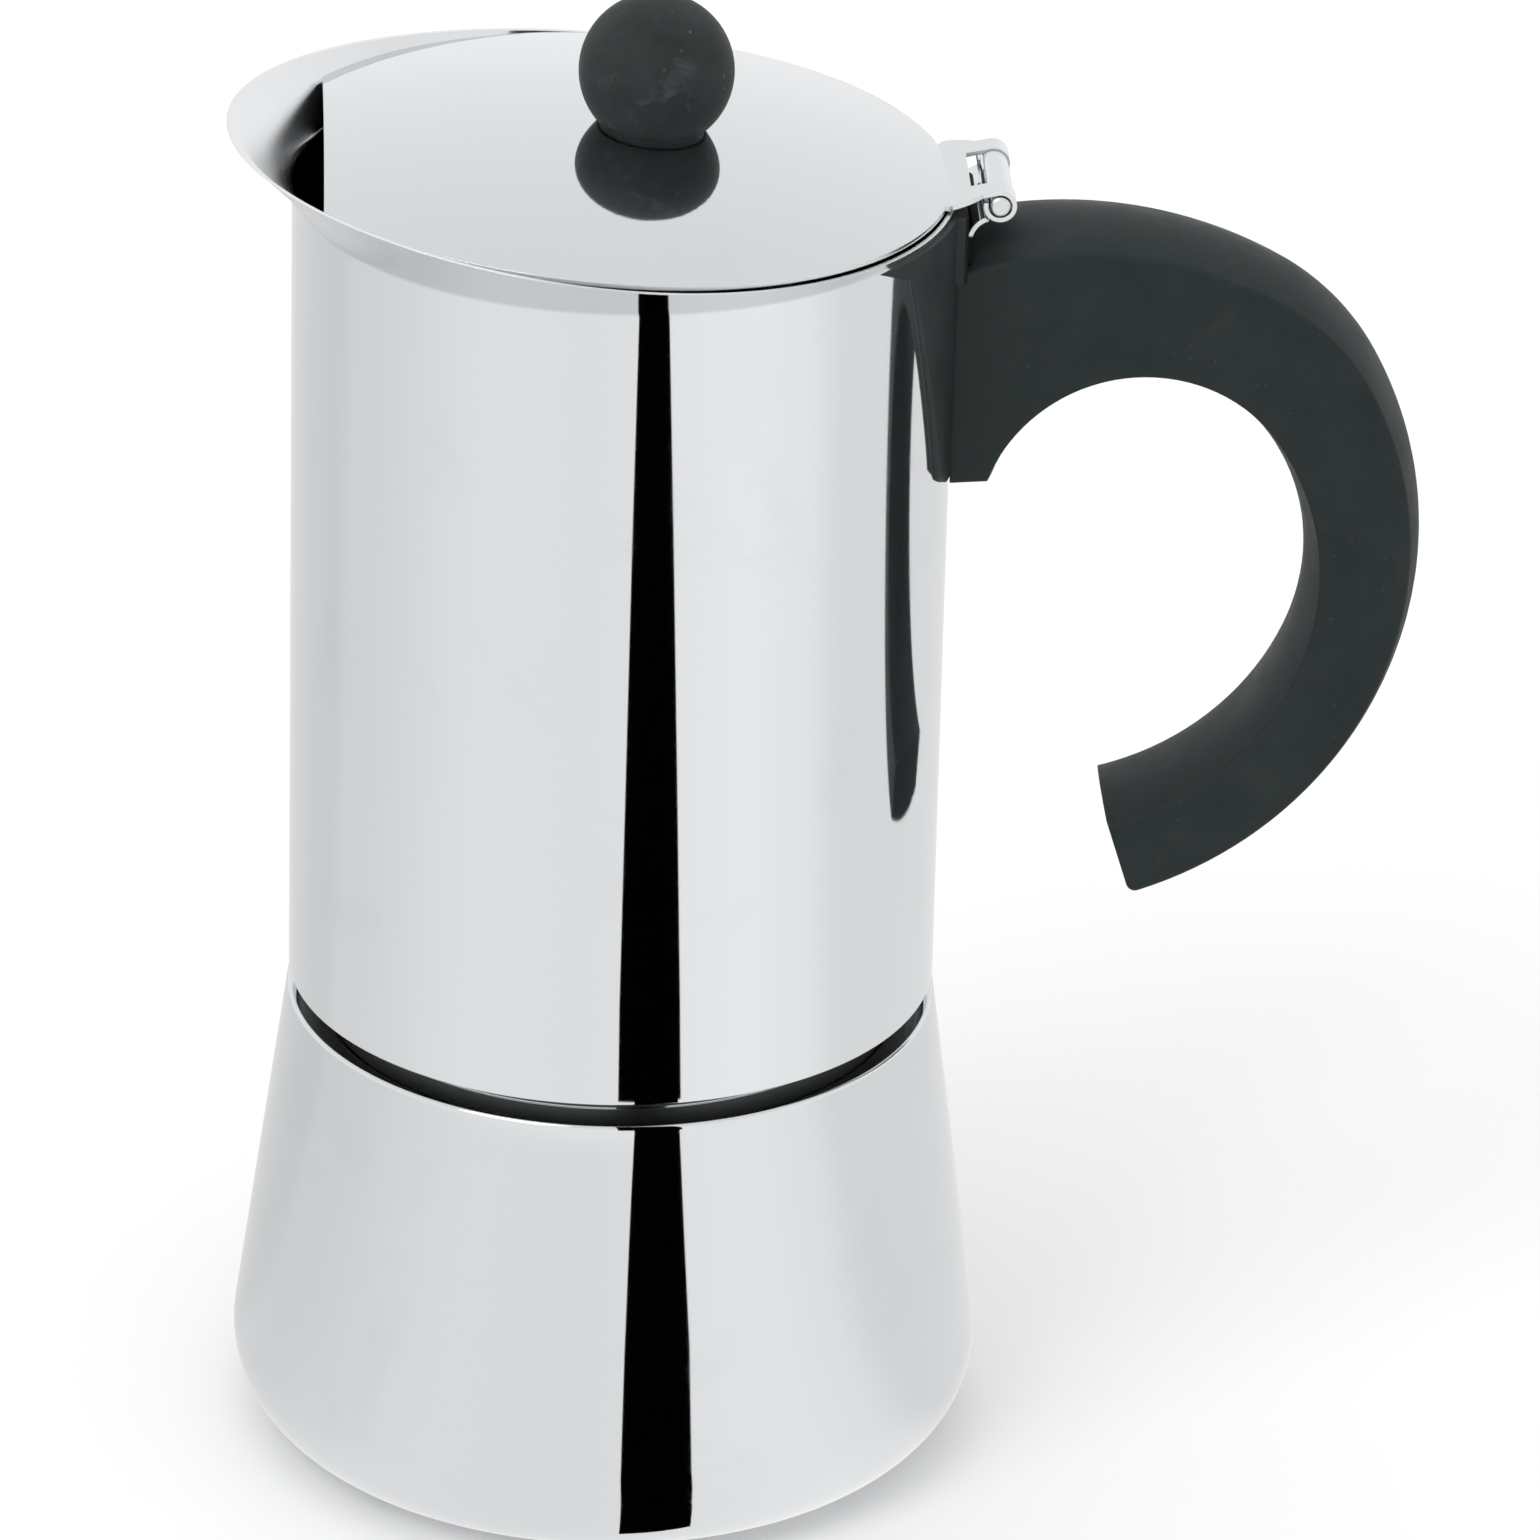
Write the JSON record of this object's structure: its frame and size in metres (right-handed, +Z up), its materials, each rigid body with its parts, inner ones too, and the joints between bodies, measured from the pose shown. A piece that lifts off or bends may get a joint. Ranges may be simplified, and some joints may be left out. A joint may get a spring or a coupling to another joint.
{
  "type": "moka pot",
  "caption": "Stovetop moka pot: conical boiler with safety valve, funnel and filter, and an upper pot with pouring lip, black C handle and hinged domed lid with ball knob.",
  "frame": {"origin": "centre of the boiler's flat bottom, on the pot's axis", "axes": "+Z up along the pot's axis, +X towards the handle, -X towards the pouring lip, +Y towards the safety valve"},
  "size_m": [0.1566, 0.1025, 0.204],
  "materials": {
    "polished_steel": "mirror-polished stainless steel",
    "inner_steel": "plain spun stainless steel",
    "black_plastic": "fine matt black moulding",
    "gasket_rubber": "pale silicone rubber",
    "valve_brass": "plain turned brass"
  },
  "bodies": {
    "boiler": {"boiler_shell": "polished_steel", "valve_body": "valve_brass", "valve_washer": "valve_brass", "valve_nut": "valve_brass", "valve_spring": "inner_steel"},
    "valve": {"valve_pin": "valve_brass", "valve_retainer": "valve_brass"},
    "funnel": {"funnel_basket": "inner_steel", "funnel_tube": "inner_steel", "funnel_screen": "inner_steel"},
    "seal": {"gasket": "gasket_rubber", "filter_plate": "inner_steel"},
    "upper": {"vessel_shell": "polished_steel", "vessel_floor": "inner_steel", "threaded_collar": "inner_steel", "coffee_column": "inner_steel", "column_cap": "inner_steel", "handle_bracket": "inner_steel", "handle_saddle": "black_plastic", "handle": "black_plastic", "handle_screw": "inner_steel", "hinge_leaf": "polished_steel", "hinge_pin": "polished_steel"},
    "lid": {"lid_plate": "polished_steel", "lid_knob": "black_plastic", "knob_screw": "inner_steel", "knob_washer": "black_plastic"}
  },
  "joints": [
    {"name": "funnel_lift", "type": "slide", "parent": "boiler", "child": "funnel", "axis": [0, 0, 1], "range_m": [0, 0.08]},
    {"name": "upper_lift", "type": "slide", "parent": "funnel", "child": "seal", "axis": [0, 0, 1], "range_m": [0, 0.04]},
    {"name": "unscrew", "type": "hinge", "parent": "seal", "child": "upper", "pos_m": [0, 0, 0.0668], "axis": [0, 0, 1], "range_deg": [0, 540]},
    {"name": "lid_hinge", "type": "hinge", "parent": "upper", "child": "lid", "pos_m": [0.048, 0, 0.1789], "axis": [0, 1, 0], "range_deg": [0, 100]},
    {"name": "valve_pull", "type": "slide", "parent": "boiler", "child": "valve", "axis": [0, 0.9905, 0.1377], "range_m": [0, 0.0012], "stiffness_N_per_m": 400, "deforming": ["valve_spring"]}
  ]
}
